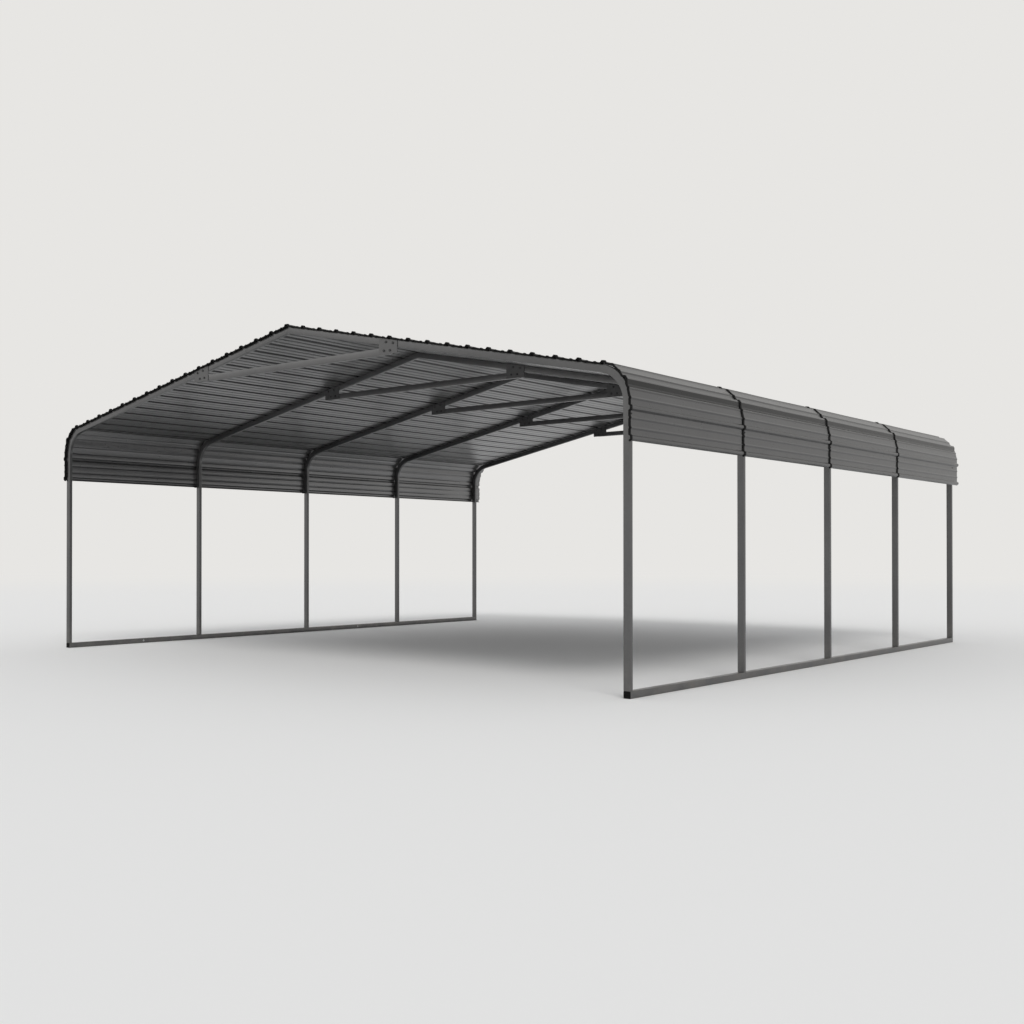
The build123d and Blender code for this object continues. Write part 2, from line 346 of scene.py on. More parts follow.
def paintedShadeAlong(points, heights, inner, roof):
    # painted shade: darker in the rib hollows and on the flanks that face down, where shade falls
    # a value for each stretch, and each corner's curve passes from one stretch's to the next
    fall, high = heights[:-1] - heights[1:], np.maximum(heights[:-1], heights[1:])
    length = np.linalg.norm(np.diff(points, axis=0), axis=1)
    if inner:
        sheet = "roof" if roof else "skirt"
        small = np.where(high > 0, paintedShadeAndBacking[sheet + "Small"], 0.0)
        value = np.where(high > sheets["smallHeight"], paintedShadeAndBacking[sheet + "Tall"], small)
    else:
        lapFlank = sheets["lapFoot"] - sheets["ribTop"]
        tall = np.where(length > lapFlank, paintedShadeAndBacking["lapFlank"], paintedShadeAndBacking["tallFlank"])
        small = np.where(fall > 0, paintedShadeAndBacking["smallFlank"], 0.0)
        value = np.where(fall > sheets["smallHeight"], tall, small)
        # painted shadow: the roof sheet's flange below the lap rib is as dark as that rib's flank
        value[-1] = paintedShadeAndBacking["lapFlank"] if roof else 0.0  # the flange below the lap, or the hem
    u = np.linspace(0, 1, sheets["bendSteps"])[None]
    curve = value[:-1, None] * (1 - u) + value[1:, None] * u
    return np.concatenate([value[:1], curve.ravel(), value[-1:]])


def roofLine(withRidge):
    # ribs from the ridge to the one at the lap, then a flat flange, and on the sheet that covers
    # the ridge a flange past it as well; at both flanges the sheet lies lapLift layers higher
    s, height, radius = ribStations(0, 3 * sheets["lapRib"])
    s = np.append(s, s[-1] + sheets["flange"])
    height, radius = np.append(height, 0.0), np.append(radius, sheets["ribRadius"])
    if withRidge:
        s = np.append(-sheets["ribFoot"] - sheets["flange"], s)
        height, radius = np.append(0.0, height), np.append(sheets["ribRadius"], radius)
    lapStretches = 4  # rise, crest and fall of the rib, and the flange
    levels = np.zeros(len(s) - 1)
    levels[-lapStretches:] = sheets["lapLift"]
    if withRidge:
        levels[:lapStretches] = sheets["lapLift"]
    return raised(s, height), radius, levels, height


def sideLine():
    # ribs from the one under the lap down to the hem, on one layer
    s, height, radius = ribStations(3 * sheets["lapRib"], 3 * sheets["pitches"])
    return raised(s, height), radius, np.zeros(len(s) - 1), height


def sagOf(loop, bay):
    # inward move = depth * bell over the bay * (even share + slow wave + quick wave across it),
    # which is zero in the first and last rows, where sheets overlap
    across = np.abs(loop[:, 0]) * sagging["alongX"] + loop[:, 1] * sagging["alongZ"]
    slow = np.sin(across * sagging["slowWave"] + bay * sagging["bayShift"])
    quick = np.sin(across * sagging["quickWave"] + bay)
    wave = sagging["evenShare"] + sagging["slowShare"] * slow + sagging["quickShare"] * quick
    bell = np.zeros(sagging["steps"] + 2)
    bell[1:-1] = np.sin(np.linspace(0, math.pi, sagging["steps"])) ** 2
    amount = sagging["depth"] * wave[:, None] * bell[None, :]
    return -archNormals(loop)[:, None, :] * amount[..., None]


def ribbedSheet(shape, bay, frontCut, roof):
    # bottom and top lines carried along Y, with the sag between the frames
    points, radius, levels, height = shape
    thickness = sheets["thickness"]
    below = pressed(shifted(points, thickness * (levels + bay)), radius)
    above = pressed(shifted(points, thickness * (levels + bay + 1)), radius)
    loop = np.vstack([below, above[::-1]])
    inner, outer = (paintedShadeAlong(points, height, inside, roof) for inside in (True, False))
    # the bottom line takes the paler inner coat, less on the skirts: partly painted light
    backingAndLight = np.zeros(len(loop))
    backingAndLight[:len(below)] = paintedShadeAndBacking["roofBackingAndLight"] if roof else paintedShadeAndBacking["skirtBackingAndLight"]
    marks = np.stack([np.concatenate([inner, outer[::-1]]), backingAndLight], -1)
    clear = sagging["clearOfLap"] + arch["breadth"] + arch["sheetLap"]
    front = frontOf(bay) - arch["sheetFront"] + frontCut
    back = frontOf(bay + 1) + arch["breadth"] + arch["sheetLap"]
    flexEnd = frontOf(bay + 1) - sagging["clearOfFrame"]
    flex = np.linspace(frontOf(bay) + clear, flexEnd, sagging["steps"])
    y = np.concatenate([[front], flex, [back]])
    move = sagOf(loop, bay)
    x, z = (loop[:, None, axis] + move[..., axis] for axis in (0, 1))
    grid = np.stack([x, np.broadcast_to(y, x.shape), z], -1)
    # the cut ends are closed with a quad from each stretch below to the one above
    index = np.arange(x.size).reshape(x.shape)
    bottom, top = index[:len(below)], index[len(below):][::-1]
    faces = [gridFaces(*x.shape, closeRows=True)]
    for column, turn in ((0, 1), (-1, -1)):
        b, t = bottom[:, column], top[:, column]
        faces.append(np.stack([b[:-1], t[:-1], t[1:], b[1:]], -1)[:, ::turn])
    return outward(grid.reshape(-1, 3), np.vstack(faces)) + (np.repeat(marks, len(y), 0),)


def archNormals(points):
    # outward direction of the arch near a point: along the slope, the bend's radius, or level
    offset = points - np.array([bendX, bendZ])
    offset[:, 0] = np.abs(points[:, 0]) - bendX
    angle = np.clip(np.arctan2(offset[:, 1], offset[:, 0]), 0, bendAngle)
    angle = np.where(offset[:, 0] < 0, bendAngle, angle)
    return np.stack([np.cos(angle) * np.where(points[:, 0] < 0, -1, 1), np.sin(angle)], -1)


print("building materials")


# materials
def newGroup(name, inputs, outputs):
    group = bpy.data.node_groups.new(name, "ShaderNodeTree")
    for label, kind, value in inputs:
        socket = group.interface.new_socket(name=label, in_out="INPUT", socket_type=kind)
        socket.default_value = value
    for label, kind in outputs:
        group.interface.new_socket(name=label, in_out="OUTPUT", socket_type=kind)
    start = group.nodes.new("NodeGroupInput")
    end = group.nodes.new("NodeGroupOutput")
    return group, start, end


def addNode(tree, kind, inputs=None, **settings):
    node = tree.nodes.new(kind)
    for key, value in settings.items():
        setattr(node, key, value)
    for key, value in (inputs or {}).items():
        if isinstance(value, bpy.types.NodeSocket):
            tree.links.new(value, node.inputs[key])
        else:
            node.inputs[key].default_value = value
    return node


def math2(tree, operation, a, b=0.0, clamp=False):
    return addNode(tree, "ShaderNodeMath", {0: a, 1: b}, operation=operation, use_clamp=clamp).outputs[0]


def remap(tree, value, low, high, outLow=0.0, outHigh=1.0, smooth=False):
    inputs = {"Value": value, "From Min": low, "From Max": high, "To Min": outLow, "To Max": outHigh}
    kind = "SMOOTHERSTEP" if smooth else "LINEAR"
    return addNode(tree, "ShaderNodeMapRange", inputs, interpolation_type=kind).outputs[0]


def blendColour(tree, factor, a, b, mode="MIX"):
    node = addNode(tree, "ShaderNodeMix", {0: factor, 6: a, 7: b}, data_type="RGBA", blend_type=mode)
    return node.outputs[2]


def scaledColour(tree, colour, gain):
    # colour * gain, the same on all three channels
    shade = addNode(tree, "ShaderNodeCombineColor", {0: gain, 1: gain, 2: gain}).outputs[0]
    return blendColour(tree, 1.0, colour, shade, "MULTIPLY")


def noise(tree, place, scale, detail, roughness=0.5):
    inputs = {"Vector": place, "Scale": scale, "Detail": detail, "Roughness": roughness}
    return addNode(tree, "ShaderNodeTexNoise", inputs).outputs[0]


def putOut(group, end, results):
    # what a group gives out, by the names of its sockets
    for label, socket in results.items():
        group.links.new(socket, end.inputs[label])


coatLook = {
    "patchDetail": 4.0, "patchRoughness": 0.6, "patchShare": 0.7, "fineScale": 60.0,
    "fineDetail": 5.0, "fineShare": 0.3, "peelDetail": 2.0, "toneFrom": 0.35, "toneTo": 0.65,
    "shineFrom": 0.3, "shineTo": 0.7, "shineSwing": 0.03,
}


def coatGroup():
    # powder coat: tone * (1 + drift * slow and fine noise), and fine orange peel for the relief
    inputs = [("Tone", "NodeSocketColor", (0.1, 0.1, 0.1, 1)), ("Drift", "NodeSocketFloat", 0.1),
              ("Patch Scale", "NodeSocketFloat", 1.5), ("Peel Scale", "NodeSocketFloat", 420.0),
              ("Shine", "NodeSocketFloat", 0.42)]
    outputs = [("Color", "NodeSocketColor"), ("Roughness", "NodeSocketFloat"),
               ("Height", "NodeSocketFloat")]
    group, start, end = newGroup("powderCoat", inputs, outputs)
    look, given = coatLook, start.outputs
    place = addNode(group, "ShaderNodeTexCoord").outputs["Object"]
    patch = noise(group, place, given["Patch Scale"], look["patchDetail"], look["patchRoughness"])
    fine = noise(group, place, look["fineScale"], look["fineDetail"])
    peel = noise(group, place, given["Peel Scale"], look["peelDetail"])
    both = math2(group, "ADD", math2(group, "MULTIPLY", patch, look["patchShare"]),
                 math2(group, "MULTIPLY", fine, look["fineShare"]))
    level = remap(group, both, look["toneFrom"], look["toneTo"], -1.0, 1.0)
    gain = math2(group, "ADD", math2(group, "MULTIPLY", level, given["Drift"]), 1.0)
    swing = remap(group, fine, look["shineFrom"], look["shineTo"],
                  -look["shineSwing"], look["shineSwing"])
    putOut(group, end, {"Color": scaledColour(group, given["Tone"], gain), "Height": peel,
                        "Roughness": math2(group, "ADD", given["Shine"], swing)})
    return group


weatherLook = {
    "cloudScale": 5.0, "cloudDetail": 8.0, "cloudRoughness": 0.7, "dustFacing": (0.3, 0.95),
    "dustCloud": (0.35, 0.75), "splashHeight": (0.35, 0.0), "splashCloud": (0.38, 0.68),
    "runStretch": (0.8, 9.0, 0.8), "runDetail": 2.0, "runFrom": (0.5, 0.78), "dulling": 0.35,
}


def weatherGroup():
    # dust that lies on what faces up, faint runs of rain, and splash marks near the ground
    inputs = [("Color", "NodeSocketColor", (0.1, 0.1, 0.1, 1)), ("Roughness", "NodeSocketFloat", 0.4),
              ("Dust", "NodeSocketFloat", 0.2), ("Runs", "NodeSocketFloat", 0.1),
              ("Splash", "NodeSocketFloat", 0.2), ("Dust Tone", "NodeSocketColor", (0.32, 0.3, 0.27, 1))]
    outputs = [("Color", "NodeSocketColor"), ("Roughness", "NodeSocketFloat"),
               ("Mask", "NodeSocketFloat")]
    group, start, end = newGroup("weather", inputs, outputs)
    look, given = weatherLook, start.outputs
    place = addNode(group, "ShaderNodeTexCoord").outputs["Object"]
    normal = addNode(group, "ShaderNodeNewGeometry").outputs["Normal"]
    facing = addNode(group, "ShaderNodeSeparateXYZ", {0: normal}).outputs[2]
    height = addNode(group, "ShaderNodeSeparateXYZ", {0: place}).outputs[2]
    cloud = noise(group, place, look["cloudScale"], look["cloudDetail"], look["cloudRoughness"])
    lying = math2(group, "MULTIPLY", remap(group, facing, *look["dustFacing"]),
                  remap(group, cloud, *look["dustCloud"]))
    low = math2(group, "MULTIPLY", remap(group, height, *look["splashHeight"]),
                remap(group, cloud, *look["splashCloud"]))
    stretch = addNode(group, "ShaderNodeMapping", {"Vector": place, "Scale": look["runStretch"]})
    run = remap(group, noise(group, stretch.outputs[0], 1.0, look["runDetail"]), *look["runFrom"])
    dust = math2(group, "MULTIPLY", lying, given["Dust"])
    splash = math2(group, "MULTIPLY", low, given["Splash"])
    runs = math2(group, "MULTIPLY", run, given["Runs"])
    mask = math2(group, "ADD", math2(group, "ADD", dust, splash), runs, clamp=True)
    dulled = math2(group, "MULTIPLY", mask, look["dulling"])
    putOut(group, end, {"Color": blendColour(group, mask, given["Color"], given["Dust Tone"]),
                        "Roughness": math2(group, "ADD", given["Roughness"], dulled, clamp=True),
                        "Mask": mask})
    return group


mouldLook = {
    "driftScale": 14.0, "driftDetail": 5.0, "driftFrom": 0.3, "driftTo": 0.7,
    "toneSwing": (0.75, 1.3), "shineSwing": (-0.08, 0.1),
}


def plasticGroup():
    # moulded black plastic or rubber: tone * slow noise, and fine spark grain for the relief
    inputs = [("Tone", "NodeSocketColor", (0.01, 0.01, 0.01, 1)),
              ("Grain Scale", "NodeSocketFloat", 700.0), ("Shine", "NodeSocketFloat", 0.55)]
    outputs = [("Color", "NodeSocketColor"), ("Roughness", "NodeSocketFloat"),
               ("Height", "NodeSocketFloat")]
    group, start, end = newGroup("mouldedBlack", inputs, outputs)
    look, given = mouldLook, start.outputs
    place = addNode(group, "ShaderNodeTexCoord").outputs["Object"]
    grain = addNode(group, "ShaderNodeTexVoronoi", {"Vector": place, "Scale": given["Grain Scale"]})
    drift = noise(group, place, look["driftScale"], look["driftDetail"])
    gain = remap(group, drift, look["driftFrom"], look["driftTo"], *look["toneSwing"])
    swing = remap(group, drift, look["driftFrom"], look["driftTo"], *look["shineSwing"])
    putOut(group, end, {"Color": scaledColour(group, given["Tone"], gain),
                        "Roughness": math2(group, "ADD", given["Shine"], swing),
                        "Height": grain.outputs["Distance"]})
    return group


coat, weather, moulded = coatGroup(), weatherGroup(), plasticGroup()


def finishMaterial(name, group, own, wear, metallic, bump, specular=0.5, paintedShade=0.0, backingAndLight=None):
    # a group's coat under the weather, with what the attributes of a sheet add
    material = bpy.data.materials.new(name)
    material.use_nodes = True
    tree = material.node_tree
    shader = tree.nodes["Principled BSDF"]
    base = addNode(tree, "ShaderNodeGroup", own, node_tree=group)
    if backingAndLight:
        # the inner face has a paler coat, partly painted light that brightens the inner faces
        inside = addNode(tree, "ShaderNodeAttribute", attribute_name="backingAndLight").outputs["Fac"]
        tree.links.new(blendColour(tree, inside, own["Tone"], backingAndLight), base.inputs["Tone"])
    worn = {"Color": base.outputs["Color"], "Roughness": base.outputs["Roughness"], **wear}
    film = addNode(tree, "ShaderNodeGroup", worn, node_tree=weather)
    strength, reach = bump
    relief = addNode(tree, "ShaderNodeBump", {"Height": base.outputs["Height"],
                                              "Strength": strength, "Distance": reach})
    colour = film.outputs["Color"]
    if paintedShade:
        # painted shade in the ribs and on their down-facing flanks darkens the colour
        mark = addNode(tree, "ShaderNodeAttribute", attribute_name="paintedShade").outputs["Fac"]
        colour = scaledColour(tree, colour, remap(tree, mark, 0.0, 1.0, 1.0, 1.0 - paintedShade))
    shader.inputs["Specular IOR Level"].default_value = specular
    tree.links.new(colour, shader.inputs["Base Color"])
    tree.links.new(film.outputs["Roughness"], shader.inputs["Roughness"])
    tree.links.new(relief.outputs["Normal"], shader.inputs["Normal"])
    shader.inputs["Metallic"].default_value = metallic
    return material


def tone(level, tint=(1.0, 1.0, 1.0)):
    return tuple(level * part for part in tint) + (1.0,)


# own: what the coat's or the plastic's group takes; bump: strength and reach of its relief
finishes = {
    "frameSteel": {
        "group": coat, "own": {"Tone": tone(0.13, (1.0, 1.0, 1.01)), "Drift": 0.1, "Shine": 0.32},
        "wear": {"Dust": 0.12, "Runs": 0.04, "Splash": 0.34}, "metallic": 0.92,
        "bump": (0.05, 0.0003)},
    # the tie plates take the frame coat a little darker: painted shade
    "shadedPlateSteel": {
        "group": coat, "own": {"Tone": tone(0.115, (1.0, 1.0, 1.01)), "Drift": 0.1, "Shine": 0.34},
        "wear": {"Dust": 0.12, "Runs": 0.04, "Splash": 0.0}, "metallic": 0.92,
        "bump": (0.05, 0.0003)},
    # the sheets' attribute darkening is painted shade, and their paler inner tone is partly painted
    # light
    "sheetSteel": {
        "group": coat, "own": {"Tone": tone(0.118, (1.0, 1.0, 1.015)), "Drift": 0.08,
                               "Patch Scale": 0.9, "Shine": 0.3},
        "wear": {"Dust": 0.1, "Runs": 0.04, "Splash": 0.0}, "metallic": 0.92,
        "bump": (0.04, 0.0003), "paintedShade": 0.75, "backingAndLight": tone(0.23, (1.0, 1.0, 1.01))},
    "boltSteel": {
        "group": coat, "own": {"Tone": tone(0.06), "Drift": 0.2, "Patch Scale": 30.0,
                               "Peel Scale": 900.0, "Shine": 0.4},
        "wear": {"Dust": 0.1, "Runs": 0.0, "Splash": 0.0}, "metallic": 0.6,
        "bump": (0.15, 0.0002)},
    "zincSteel": {
        "group": coat, "own": {"Tone": tone(0.5, (1.0, 1.01, 1.03)), "Drift": 0.15,
                               "Patch Scale": 40.0, "Peel Scale": 600.0, "Shine": 0.38},
        "wear": {"Dust": 0.1, "Runs": 0.0, "Splash": 0.1}, "metallic": 0.9,
        "bump": (0.15, 0.0002)},
    # near-black rubber, partly painted shade in the gaps at the sheets' ends and laps
    "edgeRubberAndShade": {
        "group": moulded, "own": {"Tone": tone(0.004), "Shine": 0.8},
        "wear": {"Dust": 0.02, "Runs": 0.0, "Splash": 0.0}, "metallic": 0.0,
        "bump": (0.2, 0.0003), "specular": 0.2},
    "plugPlastic": {
        "group": moulded, "own": {"Tone": tone(0.004), "Grain Scale": 500.0, "Shine": 0.6},
        "wear": {"Dust": 0.02, "Runs": 0.0, "Splash": 0.0}, "metallic": 0.0,
        "bump": (0.2, 0.0003), "specular": 0.1},
}
frameSteel, shadedPlateSteel, sheetSteel, boltSteel, zincSteel, edgeRubberAndShade, plugPlastic = (
    finishMaterial(name, **values) for name, values in finishes.items())

# the nodes that stay as they are also get a finish
for name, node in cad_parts.items():
    finish = plugPlastic if "plugs" in name else sheetSteel if "sheet" in name else frameSteel
    node.data.materials.clear()
    node.data.materials.append(finish)


print("building frames")
for index in range(arch["frames"]):
    label, front = index + 1, frontOf(index)
    legs = post(front)
    node = f"frame_{label}_"
    buildPiece(f"posts_{label}", legs + [mirrored(leg) for leg in legs], frameSteel,
               [node + "posts"])
    bent = rafter(front)
    buildPiece(f"rafters_{label}", [bent, mirrored(bent)], frameSteel, [node + "rafters"])
    buildPiece(f"ridge_{label}", [ridgeTube(front)], frameSteel, [node + "ridge_tube"])
    buildPiece(f"tie_{label}", [collarTie(front)], frameSteel, [node + "collar_tie"])
for side, label in ((1, "right"), (-1, "left")):
    buildPiece(f"rail_{label}", [railTube(side)], frameSteel, [f"base_rail_{label}"])


# tie plates
plates = {
    "inner": 0.965, "outer": 1.145, "thickness": 0.004, "margin": 0.003, "corner": 0.006,
    "cornerSteps": 5, "chamfer": 0.0008, "chamferSlant": 1.2,
    "bolts": ((1.034, 2.394), (1.102, 2.381), (1.015, 2.334), (1.073, 2.332)),
}


def roundedOutline(corners, radius):
    # each corner of a polygon becomes a short curve that starts and ends one cut away from it
    corners = np.array(corners, float)
    before, after = np.roll(corners, 1, 0) - corners, np.roll(corners, -1, 0) - corners
    before /= np.linalg.norm(before, axis=1)[:, None]
    after /= np.linalg.norm(after, axis=1)[:, None]
    half = (math.pi - np.arccos(np.einsum("ij,ij->i", before, after))) / 2
    cut = (radius * np.tan(half))[:, None, None]
    u = np.linspace(0, 1, plates["cornerSteps"])[None, :, None]
    middle = corners[:, None]
    start, end = middle + before[:, None] * cut, middle + after[:, None] * cut
    curve = (1 - u) ** 2 * start + 2 * u * (1 - u) * middle + u ** 2 * end
    return curve.reshape(-1, 2)


def flatPlate(corners, back):
    # outline pulled to its middle in rows: back face, rim, chamfer, front face
    thickness, chamfer = plates["thickness"], plates["chamfer"]
    outline = roundedOutline(corners, plates["corner"])
    middle = outline.mean(0)
    reach = np.linalg.norm(outline - middle, axis=1)[:, None]
    pulled = middle + (outline - middle) * (1 - chamfer * plates["chamferSlant"] / reach)
    centre = np.repeat(middle[None], len(outline), 0)
    rows = [(centre, back), (outline, back), (outline, back - thickness + chamfer),
            (pulled, back - thickness), (centre, back - thickness)]
    grid = np.stack([np.insert(line, 1, y, axis=1) for line, y in rows])
    faces = gridFaces(*grid.shape[:2], closeColumns=True)
    return outward(grid.reshape(-1, 3), faces)


def plateCorners():
    # over the tie and the rafter: level below, and parallel to the slope above, a margin under it
    inner, outer, low = plates["inner"], plates["outer"], tubes["tieBottom"]
    innerTop, outerTop = (arch["ridge"] - x * math.tan(arch["slope"]) - plates["margin"]
                          for x in (inner, outer))
    return [(inner, low), (outer, low), (outer, outerTop), (inner, innerTop)]


# bolts and screws: the stem is the part that is buried in the tube
fasteners = {
    "bolt": {"washer": 0.0105, "hexagon": 0.008, "rise": 0.0068, "stem": 0.004, "depth": 0.02},
    "screw": {"washer": 0.0072, "hexagon": 0.0044, "rise": 0.0048, "stem": 0.002, "depth": 0.004},
    "railBolt": {"washer": 0.0095, "hexagon": 0.0072, "rise": 0.0055, "stem": 0.004, "depth": 0.01},
    # rows of a nut on its washer, as in headRows, with the bolt's tip showing
    "nut": ((0, -0.004, 0), (0.004, -0.004, 0), (0.004, 0, 0), (0.0095, 0, 0), (0.0095, 0.0012, 0),
            (0.0078, 0.0014, 1), (0.0078, 0.0074, 1), (0.004, 0.0078, 0), (0.004, 0.0105, 0),
            (0, 0.0108, 0)),
    "washerEdge": 0.0011, "washerTop": 0.0016, "crownFrom": 0.85, "crownWidth": 0.86, "columns": 12,
}


def headRows(washer, hexagon, rise, stem, depth):
    # rows of (radius, height, how hexagonal): buried stem, washer, head, and the head's middle
    edge, top = fasteners["washerEdge"], fasteners["washerTop"]
    crown, width = rise * fasteners["crownFrom"], hexagon * fasteners["crownWidth"]
    return np.array([(0, -depth, 0), (stem, -depth, 0), (stem, 0, 0), (washer, 0, 0),
                     (washer, edge, 0), (hexagon, top, 1), (hexagon, crown, 1), (width, rise, 0),
                     (0, rise, 0)])


def fastenerSet(rows, places, axes, spin=0.3):
    # rows turned about an axis at each place, each spin further round than the one before it:
    # radius * (1, or where a row says so a hexagon's reach at that angle)
    columns = fasteners["columns"]
    angle = np.arange(columns) * 2 * math.pi / columns
    sector = (angle + math.pi / 6) % (math.pi / 3) - math.pi / 6
    hexShape = math.cos(math.pi / 6) / np.cos(sector)
    radius = rows[:, :1] * (1 + rows[:, 2:] * (hexShape[None] - 1))
    upright = np.abs(axes[:, 2:]) > 0.9
    helper = np.where(upright, np.array([[0, 1.0, 0]]), np.array([[0, 0, 1.0]]))
    sideA = np.cross(helper, axes)
    sideA /= np.linalg.norm(sideA, axis=1)[:, None]
    sideB = np.cross(axes, sideA)
    ring = angle[None, None, :] + spin * np.arange(len(places))[:, None, None]
    flatA, flatB = radius[None] * np.cos(ring), radius[None] * np.sin(ring)
    lift = np.broadcast_to(rows[None, :, 1:2], flatA.shape)
    grid = places[:, None, None, :] + flatA[..., None] * sideA[:, None, None, :]
    grid = grid + flatB[..., None] * sideB[:, None, None, :] + lift[..., None] * axes[:, None, None, :]
    faces = gridFaces(len(rows), columns, closeColumns=True)
    count = len(rows) * columns
    every = (faces[None] + np.arange(len(places))[:, None, None] * count).reshape(-1, 4)
    return outward(grid.reshape(-1, 3), every)


def bothSides(points):
    return np.vstack([points, points * np.array([-1.0, 1.0, 1.0])])


def frameBolts(front):
    # heads on the plates' front, and behind the tubes a nut on the end of each bolt
    spots = np.array(plates["bolts"])
    heads = bothSides(np.insert(spots, 1, front - plates["thickness"], axis=1))
    axes = np.tile([0, -1.0, 0], (len(heads), 1))
    ends = heads + np.array([0, plates["thickness"] + arch["breadth"], 0])
    return [fastenerSet(headRows(**fasteners["bolt"]), heads, axes),
            fastenerSet(np.array(fasteners["nut"]), ends, -axes, spin=0.5)]


print("building plates and fasteners")
for index in range(arch["frames"]):
    label, front = index + 1, frontOf(index)
    plate = flatPlate(plateCorners(), front)
    buildPiece(f"plates_{label}", [plate, mirrored(plate)], shadedPlateSteel,
               [f"frame_{label}_tie_plates"], merge=True)
    buildPiece(f"plate_bolts_{label}", frameBolts(front), boltSteel, merge=True)


print("building sheets")
# black edging, partly a real trim and partly painted shade for the shadowed sheet ends and laps:
# a channel on the first bay's front edge, and a capping strip on the others'
edgingAndShade = {
    "under": 0.002, "over": 0.0065, "underDepth": 0.0195, "overDepth": 0.017, "lip": 0.004,
    "round": 0.0015, "capOver": 0.0045, "capDepth": 0.022, "gap": 0.0001, "sharpFrom": 50,
}
rightRoof, leftRoof, skirt = roofLine(True), roofLine(False), sideLine()
for bay in range(arch["frames"] - 1):
    label, cut = bay + 1, edgingAndShade["lip"] if bay == 0 else 0.0
    for side, word, roofShape in ((1, "right", rightRoof), (-1, "left", leftRoof)):
        roof, low = ribbedSheet(roofShape, bay, cut, True), ribbedSheet(skirt, bay, cut, False)
        if side < 0:
            roof, low = mirrored(roof), mirrored(low)
        buildPiece(f"roof_{word}_{label}", [roof], sheetSteel,
                   [f"bay_{label}_roof_sheet_{word}"], sharp=sheets["sharpFrom"])
        buildPiece(f"skirt_{word}_{label}", [low], sheetSteel,
                   [f"bay_{label}_side_sheet_{word}"], sharp=sheets["sharpFrom"])


def edgeLine():
    # one ribbed line over both halves, from the left hem over the ridge to the right hem
    s, height, radius = ribStations(0, 3 * sheets["pitches"])
    right = raised(s, height)
    levels = np.zeros(len(right) - 1)
    lapFoot = 10 * sheets["lapRib"]  # a tall rib and the two small ones after it have ten stations
    levels[lapFoot - 1:lapFoot + 4] = sheets["lapLift"]
    # each half starts at its side of the crest on the ridge, and a stretch across joins the two
    points = np.vstack([(right * np.array([-1, 1]))[:1:-1], right[2:]])
    levels = np.concatenate([levels[:1:-1], [sheets["lapLift"]], levels[2:]])
    levels[len(levels) // 2 - 1:len(levels) // 2 + 2] = sheets["lapLift"]
    return points, np.concatenate([radius[:1:-1], radius[2:]]), levels


def edgeStrip(bay):
    # section of (distance over the sheet's underside, y) carried along the ribbed line
    points, radius, levels = edgeLine()
    thickness, gap, bend = sheets["thickness"], edgingAndShade["gap"], edgingAndShade["round"]
    front = frontOf(bay) - arch["sheetFront"]
    if bay == 0:
        under, top, back = -edgingAndShade["under"], thickness + edgingAndShade["over"], front + edgingAndShade["overDepth"]
        deep, lip = front + edgingAndShade["underDepth"], front + edgingAndShade["lip"]
        section = [(under, front + bend), (under, deep), (-gap, deep), (-gap, lip),
                   (thickness + gap, lip), (thickness + gap, back), (top, back),
                   (top, front + bend), (top - bend, front), (under + bend, front)]
        caps = [(0, 1, 2, 3), (0, 3, 4, 7), (4, 5, 6, 7), (0, 7, 8, 9)]
    else:
        top, face = thickness + edgingAndShade["capOver"], front - edgingAndShade["lip"]
        back = front + edgingAndShade["capDepth"]
        section = [(0, face), (0, front), (thickness, front), (thickness, back), (top - bend, back),
                   (top, back - bend), (top, face + bend), (top - bend, face)]
        caps = [(0, 1, 2, 7), (7, 2, 3, 4), (4, 5, 6, 7)]
    rows = []
    for distance, y in section:
        line = pressed(shifted(points, thickness * (levels + bay) + distance), radius)
        rows.append(np.insert(line, 1, y, axis=1))
    grid = np.stack(rows, 1)
    index = np.arange(grid[..., 0].size).reshape(grid.shape[:2])
    ends = [index[0, list(quad)[::-1]] for quad in caps] + [index[-1, list(quad)] for quad in caps]
    faces = np.vstack([gridFaces(*grid.shape[:2], closeColumns=True), np.array(ends)])
    return outward(grid.reshape(-1, 3), faces)


print("building edging")
for bay in range(arch["frames"] - 1):
    buildPiece(f"edging_{bay + 1}", [edgeStrip(bay)], edgeRubberAndShade,
               sharp=edgingAndShade["sharpFrom"])


# screws: one below each tall rib at every frame, in the tube's face, and two at each joint
screws = {"acrossTube": 0.6, "pastSplice": (0.04, 0.11), "overPost": (0.03, 0.075)}


def flatMiddles():
    # middle and outward normal of each flat just below a tall rib, but for the flat at the lap
    s, height, _ = ribStations(0, 3 * sheets["pitches"] - 1)
    tall = height[:-2] > sheets["smallHeight"]
    tallFoot = np.flatnonzero(tall & (height[1:-1] == 0) & (height[2:] == 0)) + 1
    points = raised(s, height)
    a, b = points[tallFoot], points[tallFoot + 1]
    step = b - a
    step /= np.linalg.norm(step, axis=1)[:, None]
    normal = np.stack([-step[:, 1], step[:, 0]], -1)
    keep = ~np.isclose(s[tallFoot], sheets["lapRib"] * ribPitch + sheets["lapFoot"])
    return ((a + b) / 2)[keep], normal[keep]


def sheetScrews(index):
    # on the upper face of the last sheet over the frame: middle + normal * thickness * layers
    layers = min(index, arch["frames"] - 2) + 1
    middle, normal = flatMiddles()
    spot = middle + normal * sheets["thickness"] * layers
    right = np.insert(spot, 1, frontOf(index) + screws["acrossTube"] * arch["breadth"], axis=1)
    axes = np.insert(normal, 1, 0.0, axis=1)
    return fastenerSet(headRows(**fasteners["screw"]), bothSides(right), bothSides(axes), spin=0.7)


